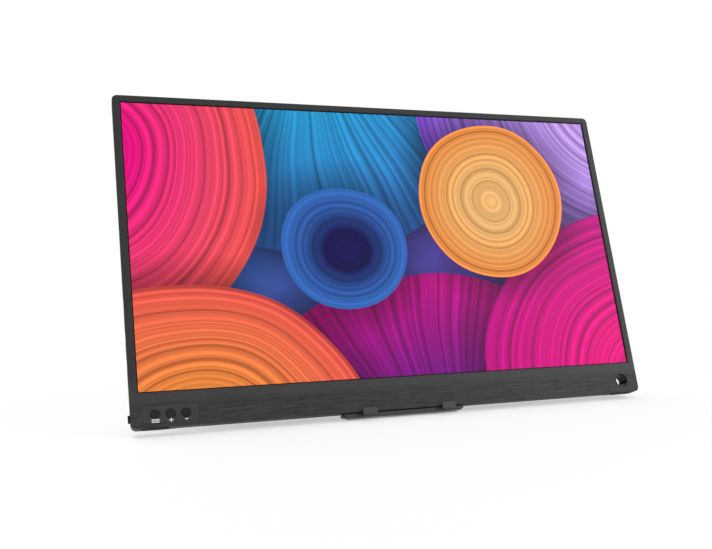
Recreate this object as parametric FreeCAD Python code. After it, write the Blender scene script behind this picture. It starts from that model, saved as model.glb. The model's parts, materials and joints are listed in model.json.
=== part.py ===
import FreeCAD, Part
import math
import os

V = FreeCAD.Vector

# A portable monitor that leans back on a hinged stand cover and on a hook tray under its bottom edge.
# It is built upright: X to the right, Y from the front face to the back, Z up from the bottom edge.
# Then the stand cover swings open and the whole leans back until the tray and the cover meet the desk.
# Lengths are millimetres and angles are degrees.

# Every cut runs this far past the faces that it opens.
OVERRUN = 4.0
# Points closer than this count as one.
TOUCH = 0.001

# Screen and case
SCREEN_WIDTH = 344.16
SCREEN_HEIGHT = 193.59
BEZEL_SIDE = 5.5
BEZEL_TOP = 5.0
CHIN_HEIGHT = 22.4
CASE_DEPTH = 11.0
CORNER_RADIUS = 3.5
FRONT_EDGE = 0.4
SEAM_EDGE = 0.2
WINDOW_EDGE = 0.35
SIDE_WALL = 1.6
BACK_WALL = 1.4
EDGE_RISE = 3.6
EDGE_DEPTH = 2.2
BACK_CORNER_RADIUS = 1.5
BEZEL_DEPTH = 3.4
LIP_THICK = 1.0
WINDOW_MARGIN = 0.7

# Screen panel, from its glass to its metal pan
PANEL_BORDER = 2.6
PANEL_FOOT = 4.4
PANEL_CLEAR = 0.3
GLASS_THICK = 1.1
DIFFUSER_THICK = 0.4
GUIDE_THICK = 1.2
REFLECTOR_THICK = 0.2
PAN_THICK = 0.4
PAN_RIM = 0.5
SHEET_CLEAR = 0.2
LED_STRIP_HEIGHT = 0.8
LED_COUNT = 24
LED_WIDTH = 3.0
LED_HEIGHT = 0.7
LED_DEPTH = 0.8

# Chin: brushed trim, control plate and buttons
TRIM_THICK = 0.8
TRIM_HEIGHT = 15.4
TRIM_CLEAR = 0.06
CHIN_WALL = 1.0
PLATE_LEFT = 6.7
PLATE_LOW = 2.9
PLATE_WIDTH = 33.6
PLATE_HEIGHT = 10.6
PLATE_RADIUS = 0.8
PLATE_INSET = 0.12
PLATE_CLEAR = 0.1
BUTTON_NAMES = ("menu", "plus", "minus")
BUTTON_FIRST = 7.7
BUTTON_PITCH = 9.05
BUTTON_RISE = 5.2
BUTTON_RADIUS = 2.75
BUTTON_PROUD = 0.35
BUTTON_EDGE = 0.3
BUTTON_CLEAR = 0.2
BUTTON_TRAVEL = 0.6
FLANGE_REACH = 0.6
FLANGE_THICK = 0.5
STOP_CLEAR = 0.1
SWITCH_SIDE = 4.6
SWITCH_THICK = 1.2

# Boards, cables and screws
BOARD_THICK = 0.8
BUTTON_BOARD_INSET = 3.8
BUTTON_BOARD_WIDTH = 38.0
BUTTON_BOARD_LOW = 2.6
BUTTON_BOARD_HEIGHT = 13.0
BOARD_POST_RADIUS = 1.5
BOARD_POST_EDGE = 1.9
DRIVER_BOARD_LEAD = 14.0
DRIVER_BOARD_END = 55.4
DRIVER_BOARD_LOW = 7.9
DRIVER_BOARD_HEIGHT = 8.0
DRIVER_POST_RISE = 1.7
DRIVER_POST_SHARES = (0.06, 0.5, 0.94)
MAIN_BOARD_INSET = 29.58
MAIN_BOARD_WIDTH = 128.0
MAIN_BOARD_RISE = 14.0
MAIN_BOARD_HEIGHT = 58.0
STANDOFF_RADIUS = 2.4
STANDOFF_EDGE = 4.0
CHIP_SIDE = 14.0
CHIP_THICK = 1.0
CHIP_PLACE_SHARES = ((0.36, 0.64), (0.52, 0.64), (0.52, 0.3))
COIL_SIDE = 6.0
COIL_THICK = 1.7
COIL_PLACE_SHARES = ((0.12, 0.72), (0.2, 0.72), (0.12, 0.5))
SHIELD_WIDTH = 34.0
SHIELD_HEIGHT = 26.0
SHIELD_THICK = 1.7
SHIELD_WALL = 0.25
SHIELD_PLACE_SHARE = 0.8
CABLE_THICK = 0.3
PANEL_CABLE_INSET = 14.0
PANEL_CABLE_WIDTH = 16.0
PANEL_CABLE_LAP = 4.0
PANEL_CABLE_AIR = 0.2
BOARD_CABLE_WIDTH = 9.0
BOARD_CABLE_LAP = 6.0
SCREW_RADIUS = 0.8
SCREW_HEAD_RADIUS = 1.5
SCREW_HEAD_THICK = 0.7
SCREW_FIT = 0.02
SCREW_BITE = 2.4
CROSS_LENGTH = 1.8
CROSS_WIDTH = 0.45
CROSS_DEPTH = 0.5
BOSS_RADIUS = 2.2
CASE_SCREW_RISE = 4.6
CASE_SCREW_SHARES = (-0.63, -0.315, 0.315, 0.63)

# Sockets on the left side and the board that carries them
PORT_BOARD_LOW = 30.0
PORT_BOARD_HEIGHT = 72.0
PORT_INSET = 0.3
PORT_CLEAR = 0.2
PORT_DEPTH = 7.4
PORT_SHELL = 0.35
PORT_BACK = 0.8
PORT_TONGUE_THICK = 0.7
PORT_TONGUE_SIDE = 1.1
PORT_TONGUE_LENGTH = 5.0
USB_WIDTH = 8.94
USB_HEIGHT = 3.2
USB_LOW_RISE = 12.0
USB_PITCH = 17.0
HDMI_WIDTH = 11.2
HDMI_HEIGHT = 3.2
HDMI_RADIUS = 0.7
HDMI_RISE = 49.0

# Speakers behind the side slots
SPEAKER_RISE = 42.0
SPEAKER_LENGTH = 36.0
SPEAKER_WIDTH = 12.5
SPEAKER_THICK = 3.4
SPEAKER_RADIUS = 2.0
SPEAKER_CONE_EDGE = 1.6
SPEAKER_CONE_RISE = 0.4
SLOT_COUNT = 7
SLOT_PITCH = 4.0
SLOT_WIDTH = 1.3
SLOT_FRONT = 4.6
SLOT_BACK = 7.2

# Power button on the left side
POWER_RISE = 6.9
POWER_HEIGHT = 4.6
POWER_FRONT = 4.4
POWER_DEPTH = 2.6
POWER_PROUD = 1.3
POWER_EDGE = 0.35
POWER_CLEAR = 0.2
POWER_TRAVEL = 0.7
POWER_FLANGE_THICK = 0.8
POWER_FLANGE_REACH = 0.8
POWER_SWITCH_LENGTH = 3.5
POWER_SWITCH_HEIGHT = 4.0
POWER_SWITCH_THICK = 2.2

# Jog wheel on the right side
WHEEL_RADIUS = 4.0
WHEEL_PROUD = 2.6
WHEEL_RISE = 13.7
WHEEL_GROOVES = 22
WHEEL_GROOVE_RADIUS = 0.32
WHEEL_AIR = 0.25
WHEEL_CLEAR = 0.5
AXLE_RADIUS = 0.7
AXLE_FIT = 0.05
ARM_THICK = 0.45
ARM_EDGE = 1.0
WHEEL_SWITCH_HEIGHT = 7.0
WHEEL_SWITCH_WIDTH = 7.0
WHEEL_BOARD_LOW = 17.6
WHEEL_BOARD_HEIGHT = 26.0

# Round hole through the chin
HOLE_FROM_RIGHT = 13.1
HOLE_RISE = 9.0
HOLE_RADIUS = 4.5
SLEEVE_WALL = 0.55
SLEEVE_FIT = 0.02

# Stand cover on the back
FLAP_TOP = 110.0
FLAP_MARGIN = 18.0
FLAP_KNEE = 39.6
FLAP_FOOT_MARGIN = 26.8
FLAP_THICK = 2.8
FLAP_CORNER = 4.0
FLAP_EDGE = 0.6
FLAP_BACK_CLEAR = 0.3
FLAP_SIDE_CLEAR = 0.6
FLAP_TOP_GAP = 0.9
FLAP_BOTTOM_GAP = 0.8
FLAP_FOOT_PROUD = 0.6
FLAP_OPENING = 38.3
RECESS_WALL = 1.2
STRIP_HEIGHT = 4.2
STRIP_INSET = 6.0
MAGNET_SHARE = 0.485
MAGNET_RISE = 12.4
MAGNET_RADIUS = 3.0
MAGNET_THICK = 1.0
KEEPER_THICK = 0.8
RIB_WIDTH = 2.0
RIB_SHARES = (-0.54, 0.0, 0.54)
RIB_LOW = 26.0
RIB_HEIGHT = 70.0

# Hinges of the stand cover
HINGE_INSET = 37.58
BRACKET_WIDTH = 24.0
BRACKET_HEIGHT = 8.6
BRACKET_THICK = 0.8
EAR_WIDTH = 4.0
PIN_RADIUS = 0.75
PIN_FIT = 0.03
HINGE_SIDE_CLEAR = 0.3
NOTCH_CLEAR = 0.4
NOTCH_DEPTH = 2.2
LEAF_LENGTH = 14.6
LEAF_THICK = 0.9
LEAF_SKIN = 1.05
LEAF_SCREW_DROP = 11.6
LEAF_SCREW_SPREAD = 4.6
BRACKET_SCREW_DROP = 5.2
BRACKET_SCREW_SPREAD = 7.6
HINGE_BOSS_LENGTH = 1.1

# Hook tray under the bottom edge
TRAY_OFFSET = -2.5
TRAY_LEFT_REACH = 46.0
TRAY_RIGHT_REACH = 41.0
TRAY_END_SLOPE = 2.4
TRAY_FRONT = 0.2
TRAY_BACK = 9.0
TRAY_GAP = 0.6
TRAY_THICK = 2.3
TRAY_RADIUS = 2.0
TRAY_EDGE = 0.5
HOOK_SPREAD = 27.6
HOOK_WIDTH = 9.8
HOOK_REACH = 3.8
HOOK_RISE = 2.1
HOOK_LIFT = 0.1
HOOK_THICK = 1.6
HOOK_RADIUS = 1.6
HOOK_EDGE = 0.35
HOOK_PAD_AIR = 0.3
HOOK_PAD_EDGE = 1.2
HOOK_PAD_HEIGHT = 1.8
PAD_END_INSET = 2.4
PAD_LENGTH = 3.6
PAD_THICK = 1.0
PAD_DROP = 2.5
TRAY_SCREW_SPREAD = 15.0
TRAY_SCREW_DEPTH = 4.6
TRAY_BOSS_RADIUS = 3.0
TRAY_BOSS_HEIGHT = 4.6
TRAY_HEAD_SINK = 0.6

# Rubber feet under the bottom corners
FOOT_INSET = 5.9
FOOT_LENGTH = 16.4
FOOT_FRONT = 1.4
FOOT_WIDTH = 5.0
FOOT_THICK = 0.6
FOOT_RADIUS = 2.4
FOOT_EDGE = 0.5

# Places worked out from the sizes above
case_half = SCREEN_WIDTH / 2 + BEZEL_SIDE
screen_half = SCREEN_WIDTH / 2
screen_low = CHIN_HEIGHT
screen_high = CHIN_HEIGHT + SCREEN_HEIGHT
case_height = screen_high + BEZEL_TOP
panel_half = screen_half + PANEL_BORDER
panel_low = screen_low - PANEL_FOOT
panel_high = screen_high + PANEL_BORDER
glass_back = LIP_THICK + GLASS_THICK
diffuser_back = glass_back + DIFFUSER_THICK
guide_back = diffuser_back + GUIDE_THICK
reflector_back = guide_back + REFLECTOR_THICK
pan_back = reflector_back + PAN_THICK
sheet_half = panel_half - PAN_RIM - SHEET_CLEAR
sheet_low = panel_low + PAN_RIM + SHEET_CLEAR
sheet_high = panel_high - PAN_RIM - SHEET_CLEAR
led_low = sheet_low
guide_low = led_low + LED_STRIP_HEIGHT + LED_HEIGHT + SHEET_CLEAR
chin_back = TRIM_THICK + CHIN_WALL
pocket_high = panel_low - PANEL_CLEAR - SIDE_WALL
inner_half = case_half - SIDE_WALL
inner_high = case_height - SIDE_WALL
edge_start = CASE_DEPTH - EDGE_DEPTH
back_inside = CASE_DEPTH - BACK_WALL
deep_inset = SIDE_WALL + EDGE_RISE
deep_half = case_half - deep_inset
recess_back = CASE_DEPTH - FLAP_THICK - FLAP_BACK_CLEAR
recess_inside = recess_back - RECESS_WALL
plate_left = -case_half + PLATE_LEFT
button_rise = PLATE_LOW + BUTTON_RISE
flange_front = chin_back + STOP_CLEAR
flange_back = flange_front + FLANGE_THICK
switch_front = flange_back + BUTTON_TRAVEL + STOP_CLEAR
button_board_front = switch_front + SWITCH_THICK
button_board_back = button_board_front + BOARD_THICK
button_board_left = -case_half + BUTTON_BOARD_INSET
button_board_right = button_board_left + BUTTON_BOARD_WIDTH
button_board_high = BUTTON_BOARD_LOW + BUTTON_BOARD_HEIGHT
driver_front = chin_back + DRIVER_POST_RISE
driver_back = driver_front + BOARD_THICK
driver_high = DRIVER_BOARD_LOW + DRIVER_BOARD_HEIGHT
main_board_left = -case_half + MAIN_BOARD_INSET
main_board_right = main_board_left + MAIN_BOARD_WIDTH
panel_cable_right = main_board_right - PANEL_CABLE_INSET
panel_cable_left = panel_cable_right - PANEL_CABLE_WIDTH
driver_left = panel_cable_left - DRIVER_BOARD_LEAD
port_board_front = back_inside - BOARD_THICK
side_board_outer = deep_half - PANEL_CLEAR
side_board_inner = case_half - FLAP_MARGIN + FLAP_SIDE_CLEAR + RECESS_WALL + PANEL_CLEAR
side_board_width = side_board_outer - side_board_inner
port_face = -case_half + PORT_INSET
main_board_back = port_board_front - CABLE_THICK
main_board_front = main_board_back - BOARD_THICK
main_board_low = FLAP_TOP + MAIN_BOARD_RISE
hole_x = case_half - HOLE_FROM_RIGHT
sleeve_radius = HOLE_RADIUS + SLEEVE_WALL
driver_right = hole_x - sleeve_radius - DRIVER_BOARD_END
wheel_x = case_half + WHEEL_PROUD - WHEEL_RADIUS
arm_back = port_board_front
wheel_back = arm_back - ARM_THICK - WHEEL_AIR
arm_front = pan_back + PANEL_CLEAR
wheel_front = arm_front + ARM_THICK + WHEEL_AIR
hinge_place = case_half - FLAP_MARGIN - HINGE_INSET
magnet_place = case_half * MAGNET_SHARE
hinge_y = CASE_DEPTH - FLAP_THICK / 2
knuckle_radius = FLAP_THICK / 2
hinge_z = FLAP_TOP - FLAP_TOP_GAP - knuckle_radius
flap_front = CASE_DEPTH - FLAP_THICK
leaf_back = CASE_DEPTH - LEAF_SKIN
leaf_front = leaf_back - LEAF_THICK
leaf_half = BRACKET_WIDTH / 2 - EAR_WIDTH - HINGE_SIDE_CLEAR
flap_low = FLAP_BOTTOM_GAP + FLAP_FOOT_PROUD
strip_top = FLAP_BOTTOM_GAP + STRIP_HEIGHT
strip_half = case_half - FLAP_FOOT_MARGIN - STRIP_INSET
tray_left = TRAY_OFFSET - TRAY_LEFT_REACH
tray_right = TRAY_OFFSET + TRAY_RIGHT_REACH
tray_top = -TRAY_GAP
tray_bottom = -TRAY_GAP - TRAY_THICK
tray_head = tray_bottom + TRAY_HEAD_SINK
tray_screw_length = SIDE_WALL + SCREW_BITE - tray_head


def resting_lean():
    """The angle at which the tray's pad and the open stand cover's rounded foot both meet the desk."""
    opening = math.radians(FLAP_OPENING)
    arm = hinge_z - FLAP_BOTTOM_GAP - knuckle_radius
    foot_y = hinge_y + arm * math.sin(opening)
    foot_z = hinge_z - arm * math.cos(opening)
    run = foot_y - TRAY_BACK
    rise = foot_z + PAD_DROP
    return math.degrees(math.atan2(rise, run) - math.asin(knuckle_radius / math.hypot(run, rise)))


lean = resting_lean()
desk_along = V(0, math.cos(math.radians(lean)), math.sin(math.radians(lean)))
desk_up = V(0, -math.sin(math.radians(lean)), math.cos(math.radians(lean)))
pad_heel = V(0, TRAY_BACK, -PAD_DROP)
desk_origin = pad_heel - desk_along * (PAD_LENGTH / 2)


def block(x_low, x_high, y_low, y_high, z_low, z_high):
    """A box between two corners."""
    return Part.makeBox(x_high - x_low, y_high - y_low, z_high - z_low, V(x_low, y_low, z_low))


def rod_x(y, z, radius, x_low, x_high):
    """A round bar from side to side."""
    return Part.makeCylinder(radius, x_high - x_low, V(x_low, y, z), V(1, 0, 0))


def rod_y(x, z, radius, y_low, y_high):
    """A round bar from front to back."""
    return Part.makeCylinder(radius, y_high - y_low, V(x, y_low, z), V(0, 1, 0))


def rod_z(x, y, radius, z_low, z_high):
    """An upright round bar."""
    return Part.makeCylinder(radius, z_high - z_low, V(x, y, z_low), V(0, 0, 1))


def rounded_wire(u_low, u_high, v_low, v_high, radius, place):
    """A rectangle with round corners, whose flat points are put in space by place."""
    corners = (
        (u_high - radius, v_low + radius),
        (u_high - radius, v_high - radius),
        (u_low + radius, v_high - radius),
        (u_low + radius, v_low + radius),
    )
    arcs = []
    for turn, (u, v) in enumerate(corners):
        start = turn * math.pi / 2 - math.pi / 2
        angles = (start, start + math.pi / 4, start + math.pi / 2)
        points = [place(u + radius * math.cos(a), v + radius * math.sin(a)) for a in angles]
        arcs.append(points)
    edges = []
    for turn, points in enumerate(arcs):
        edges.append(Part.Arc(*points).toShape())
        following = arcs[(turn + 1) % len(arcs)][0]
        if points[2].distanceToPoint(following) > Part.Precision.confusion():
            edges.append(Part.LineSegment(points[2], following).toShape())
    return Part.Wire(edges)


def front_wire(half, z_low, z_high, radius, y):
    """A rounded rectangle that faces the front, at depth y."""
    return rounded_wire(-half, half, z_low, z_high, radius, lambda u, v: V(u, y, v))


def plate(x_low, x_high, z_low, z_high, radius, y_low, y_high):
    """A rounded plate that faces the front."""
    wire = rounded_wire(x_low, x_high, z_low, z_high, radius, lambda u, v: V(u, y_low, v))
    return Part.Face(wire).extrude(V(0, y_high - y_low, 0))


def side_plate(y_low, y_high, z_low, z_high, radius, x_low, x_high):
    """A rounded bar whose section faces the side."""
    wire = rounded_wire(y_low, y_high, z_low, z_high, radius, lambda u, v: V(x_low, u, v))
    return Part.Face(wire).extrude(V(x_high - x_low, 0, 0))


def floor_plate(x_low, x_high, y_low, y_high, radius, z_low, z_high):
    """A rounded plate that lies flat."""
    wire = rounded_wire(x_low, x_high, y_low, y_high, radius, lambda u, v: V(u, v, z_low))
    return Part.Face(wire).extrude(V(0, 0, z_high - z_low))


def prism(points, along):
    """A straight-sided solid from the corners of its flat outline."""
    return Part.Face(Part.makePolygon(list(points) + [points[0]])).extrude(along)


def joined(shapes):
    """One solid from shapes that touch or overlap."""
    return shapes[0].fuse(shapes[1:]).removeSplitter()


def edges_in_plane(shape, point, across):
    """The edges that lie in the plane through a point, square to a direction."""
    found = []
    for edge in shape.Edges:
        if all(abs((corner.Point - point).dot(across)) < TOUCH for corner in edge.Vertexes):
            found.append(edge)
    return found


def screw(head, along, length):
    """A flat-headed screw with a crossed slot. The top of its head is at head."""
    cone = Part.makeCone(SCREW_HEAD_RADIUS, SCREW_RADIUS, SCREW_HEAD_THICK)
    shank = Part.makeCylinder(SCREW_RADIUS, length)
    long = CROSS_LENGTH / 2
    thin = CROSS_WIDTH / 2
    slots = [
        block(-long, long, -thin, thin, -OVERRUN, CROSS_DEPTH),
        block(-thin, thin, -long, long, -OVERRUN, CROSS_DEPTH),
    ]
    body = joined([cone, shank]).cut(slots)
    body.Placement = FreeCAD.Placement(head, FreeCAD.Rotation(V(0, 0, 1), along))
    return body


def screw_seat(head, along, length):
    """The countersunk hole that such a screw passes through."""
    wide = SCREW_HEAD_RADIUS + SCREW_FIT
    narrow = SCREW_RADIUS + SCREW_FIT
    cone = Part.makeCone(wide, narrow, SCREW_HEAD_THICK, head, along)
    return joined([cone, Part.makeCylinder(narrow, length + SCREW_FIT, head, along)])


def case_screw_places():
    """The four screws along the bottom that hold the two shells together."""
    return [case_half * share for share in CASE_SCREW_SHARES]


def button_places():
    """The middles of the three front buttons."""
    first = plate_left + BUTTON_FIRST
    return [first + BUTTON_PITCH * turn for turn in range(len(BUTTON_NAMES))]


def button_post_places():
    """The two posts that carry the button board."""
    z = button_board_high - BOARD_POST_EDGE
    return [(button_board_left + BOARD_POST_EDGE, z), (button_board_right - BOARD_POST_EDGE, z)]


def driver_post_places():
    """The posts that carry the panel's driver board."""
    z = DRIVER_BOARD_LOW + DRIVER_BOARD_HEIGHT / 2
    width = driver_right - driver_left
    return [(driver_left + width * share, z) for share in DRIVER_POST_SHARES]


def main_board_holes():
    """The four screws of the main board."""
    xs = (main_board_left + STANDOFF_EDGE, main_board_right - STANDOFF_EDGE)
    zs = (main_board_low + STANDOFF_EDGE, main_board_low + MAIN_BOARD_HEIGHT - STANDOFF_EDGE)
    return [(x, z) for x in xs for z in zs]


def tray_screw_places():
    """The two screws of the hook tray."""
    return [TRAY_OFFSET - TRAY_SCREW_SPREAD, TRAY_OFFSET + TRAY_SCREW_SPREAD]


def pen_hole(radius):
    """The round way through the chin."""
    return rod_y(hole_x, HOLE_RISE, radius, -OVERRUN, CASE_DEPTH + OVERRUN)


def case_front(depth):
    """The case's outline with its rounded front rim, down to a depth."""
    body = plate(-case_half, case_half, 0, case_height, CORNER_RADIUS, 0, depth)
    rim = edges_in_plane(body, V(0, 0, 0), V(0, 1, 0))
    return body.makeFillet(min(FRONT_EDGE, TRIM_THICK / 2), rim)


def seam_edge(shape):
    """Bevels the rim where one shell meets the other, so that a fine groove shows between them."""
    rim = edges_in_plane(shape, V(0, BEZEL_DEPTH, 0), V(0, 1, 0))
    return shape.makeChamfer(SEAM_EDGE, rim)


def window_edge(shape):
    """Bevels the front of the bezel's window."""
    half = screen_half + WINDOW_MARGIN + TOUCH
    low = screen_low - WINDOW_MARGIN - TOUCH
    high = screen_high + WINDOW_MARGIN + TOUCH
    rim = []
    for edge in edges_in_plane(shape, V(0, 0, 0), V(0, 1, 0)):
        if all(abs(corner.X) < half and low < corner.Z < high for corner in edge.Vertexes):
            rim.append(edge)
    return shape.makeChamfer(min(WINDOW_EDGE, LIP_THICK / 2), rim)


def front_bezel():
    """The front shell: a narrow frame round the screen and the wall behind the chin's trim."""
    body = seam_edge(case_front(BEZEL_DEPTH))
    far = case_half + OVERRUN
    back = BEZEL_DEPTH + OVERRUN
    trim_seat = block(-far, far, -OVERRUN, TRIM_THICK, -OVERRUN, TRIM_HEIGHT + TRIM_CLEAR)
    window_half = screen_half + WINDOW_MARGIN
    window = block(
        -window_half, window_half, -OVERRUN, back, screen_low - WINDOW_MARGIN, screen_high + WINDOW_MARGIN
    )
    seat_half = panel_half + PANEL_CLEAR
    seat = block(-seat_half, seat_half, LIP_THICK, back, panel_low - PANEL_CLEAR, panel_high + PANEL_CLEAR)
    pocket = block(-inner_half, inner_half, chin_back, back, SIDE_WALL, pocket_high)
    body = window_edge(body.cut([trim_seat, window, seat, pocket]))
    posts = [rod_y(x, z, BOARD_POST_RADIUS, TRIM_THICK, button_board_front) for x, z in button_post_places()]
    posts += [rod_y(x, z, BOARD_POST_RADIUS, TRIM_THICK, driver_front) for x, z in driver_post_places()]
    posts += [rod_y(x, CASE_SCREW_RISE, BOSS_RADIUS, TRIM_THICK, recess_inside) for x in case_screw_places()]
    body = joined([body] + posts)
    hole = BUTTON_RADIUS + BUTTON_CLEAR
    cuts = [rod_y(x, button_rise, hole, -OVERRUN, chin_back + STOP_CLEAR) for x in button_places()]
    cuts += [case_screw_seat(x) for x in case_screw_places()]
    cuts.append(pen_hole(sleeve_radius + SLEEVE_FIT))
    return body.cut(cuts)


def chin_trim():
    """The brushed strip across the chin."""
    strip = case_front(TRIM_THICK).common(block(-case_half, case_half, 0, TRIM_THICK, 0, TRIM_HEIGHT))
    cutout = plate(
        plate_left - PLATE_CLEAR,
        plate_left + PLATE_WIDTH + PLATE_CLEAR,
        PLATE_LOW - PLATE_CLEAR,
        PLATE_LOW + PLATE_HEIGHT + PLATE_CLEAR,
        PLATE_RADIUS,
        -OVERRUN,
        TRIM_THICK + OVERRUN,
    )
    return strip.cut([cutout, pen_hole(sleeve_radius + SLEEVE_FIT)])


def control_plate():
    """The smooth plate round the three buttons."""
    body = plate(
        plate_left,
        plate_left + PLATE_WIDTH,
        PLATE_LOW,
        PLATE_LOW + PLATE_HEIGHT,
        PLATE_RADIUS,
        PLATE_INSET,
        TRIM_THICK,
    )
    hole = BUTTON_RADIUS + BUTTON_CLEAR
    return body.cut([rod_y(x, button_rise, hole, -OVERRUN, TRIM_THICK + OVERRUN) for x in button_places()])


def front_button(x):
    """A round push button with the flange that keeps it in."""
    cap = rod_y(x, button_rise, BUTTON_RADIUS, -BUTTON_PROUD, flange_back)
    rim = [edge for edge in cap.Edges if edge.BoundBox.YMax < 0]
    cap = cap.makeFillet(min(BUTTON_EDGE, BUTTON_RADIUS / 2), rim)
    flange = rod_y(x, button_rise, BUTTON_RADIUS + FLANGE_REACH, flange_front, flange_back)
    return joined([cap, flange])


def button_switches():
    """The three push switches behind the buttons."""
    half = SWITCH_SIDE / 2
    solids = []
    for x in button_places():
        low = button_rise - half
        solids.append(block(x - half, x + half, switch_front, button_board_front, low, low + SWITCH_SIDE))
    return Part.makeCompound(solids)


def button_board():
    """The board behind the control plate, which also carries the power switch."""
    return block(
        button_board_left,
        button_board_right,
        button_board_front,
        button_board_back,
        BUTTON_BOARD_LOW,
        button_board_high,
    )


def screen_glass():
    """The liquid crystal cell behind the bezel's window."""
    return block(-panel_half, panel_half, LIP_THICK, glass_back, panel_low, panel_high)


def backlight_sheet(y_low, y_high):
    """A sheet of the backlight that lies in the pan, above the LED bar."""
    return block(-sheet_half, sheet_half, y_low, y_high, guide_low, sheet_high)


def led_bar():
    """The strip of lamps along the light guide's lower edge."""
    top = led_low + LED_STRIP_HEIGHT
    strip = block(-sheet_half, sheet_half, diffuser_back, guide_back, led_low, top)
    pitch = 2 * sheet_half / LED_COUNT
    lamps = []
    for turn in range(LED_COUNT):
        left = -sheet_half + pitch * turn + (pitch - LED_WIDTH) / 2
        back = diffuser_back + LED_DEPTH
        lamps.append(block(left, left + LED_WIDTH, diffuser_back, back, top, top + LED_HEIGHT))
    return joined([strip] + lamps)


def panel_pan():
    """The metal pan that holds the backlight against the glass."""
    body = block(-panel_half, panel_half, glass_back, pan_back, panel_low, panel_high)
    inner_low = panel_low + PAN_RIM
    inner_top = panel_high - PAN_RIM
    half = panel_half - PAN_RIM
    return body.cut(block(-half, half, glass_back - OVERRUN, reflector_back, inner_low, inner_top))


def driver_board():
    """The long board that drives the panel."""
    return block(driver_left, driver_right, driver_front, driver_back, DRIVER_BOARD_LOW, driver_high)


def panel_cable():
    """The flat cable from the driver board, up behind the pan, to the main board."""
    left = panel_cable_left
    right = panel_cable_right
    run_front = pan_back + PANEL_CABLE_AIR
    run_back = run_front + CABLE_THICK
    foot_low = driver_high - PANEL_CABLE_LAP
    top = main_board_low + PANEL_CABLE_LAP
    foot_back = driver_back + CABLE_THICK
    foot = block(left, right, driver_back, foot_back, foot_low, driver_high + CABLE_THICK)
    step_low = driver_high
    step = block(left, right, driver_back, run_back, step_low, step_low + CABLE_THICK)
    run = block(left, right, run_front, run_back, step_low, top)
    reach = block(left, right, run_front, main_board_front, top - CABLE_THICK, top)
    return joined([foot, step, run, reach])


def recess_outline(grow, low, top):
    """The stand cover's outline: straight sides that slant in below the knee."""
    upper = case_half - FLAP_MARGIN + grow
    foot = case_half - FLAP_FOOT_MARGIN + grow
    slope = (upper - foot) / FLAP_KNEE
    bottom = foot + slope * low
    right = [(bottom, low), (upper, FLAP_KNEE), (upper, top)]
    return right + [(-x, z) for x, z in reversed(right)]


def back_prism(outline, y_low, y_high):
    """An outline that faces the back, given depth."""
    return prism([V(x, y_low, z) for x, z in outline], V(0, y_high - y_low, 0))


def case_screw_seat(x):
    """The way of one case screw, from under the stand cover into the bezel's post."""
    head = V(x, recess_back, CASE_SCREW_RISE)
    return screw_seat(head, V(0, -1, 0), recess_back - chin_back - SCREW_FIT)


def case_screws():
    """The screws that hold the two shells together."""
    length = recess_back - chin_back - SCREW_BITE
    heads = [V(x, recess_back, CASE_SCREW_RISE) for x in case_screw_places()]
    return Part.makeCompound([screw(head, V(0, -1, 0), length) for head in heads])


def rear_shell():
    """The rear cover's outside, with sloping edges round the back."""
    side = seam_edge(plate(-case_half, case_half, 0, case_height, CORNER_RADIUS, BEZEL_DEPTH, edge_start))
    wide = front_wire(case_half, 0, case_height, CORNER_RADIUS, edge_start)
    narrow_half = case_half - EDGE_RISE
    narrow = front_wire(narrow_half, EDGE_RISE, case_height - EDGE_RISE, BACK_CORNER_RADIUS, CASE_DEPTH)
    return joined([side, Part.makeLoft([wide, narrow], True, True)])


def rear_hollow():
    """The space inside the rear cover, which steps forward where the stand cover's recess is."""
    shallow = block(-inner_half, inner_half, BEZEL_DEPTH - OVERRUN, edge_start, SIDE_WALL, inner_high)
    deep = block(
        -deep_half, deep_half, BEZEL_DEPTH - OVERRUN, back_inside, deep_inset, case_height - deep_inset
    )
    wall = FLAP_SIDE_CLEAR + RECESS_WALL
    outline = recess_outline(wall, -OVERRUN, FLAP_TOP + RECESS_WALL)
    step = back_prism(outline, recess_inside, CASE_DEPTH + OVERRUN)
    return joined([shallow, deep]).cut(step)


def hinge_screw_places():
    """Where the hinge brackets are screwed to the rear cover."""
    z = hinge_z - BRACKET_SCREW_DROP
    sides = (-hinge_place, hinge_place)
    return [(x + spread, z) for x in sides for spread in (-BRACKET_SCREW_SPREAD, BRACKET_SCREW_SPREAD)]


def hinge_screw_head(x, z):
    """The top of a bracket screw's head, flush with the bracket's plate."""
    return V(x, recess_back + BRACKET_THICK, z)


def speaker_middle():
    """The height of the speakers' middles."""
    return FLAP_TOP + SPEAKER_RISE + SPEAKER_LENGTH / 2


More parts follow.
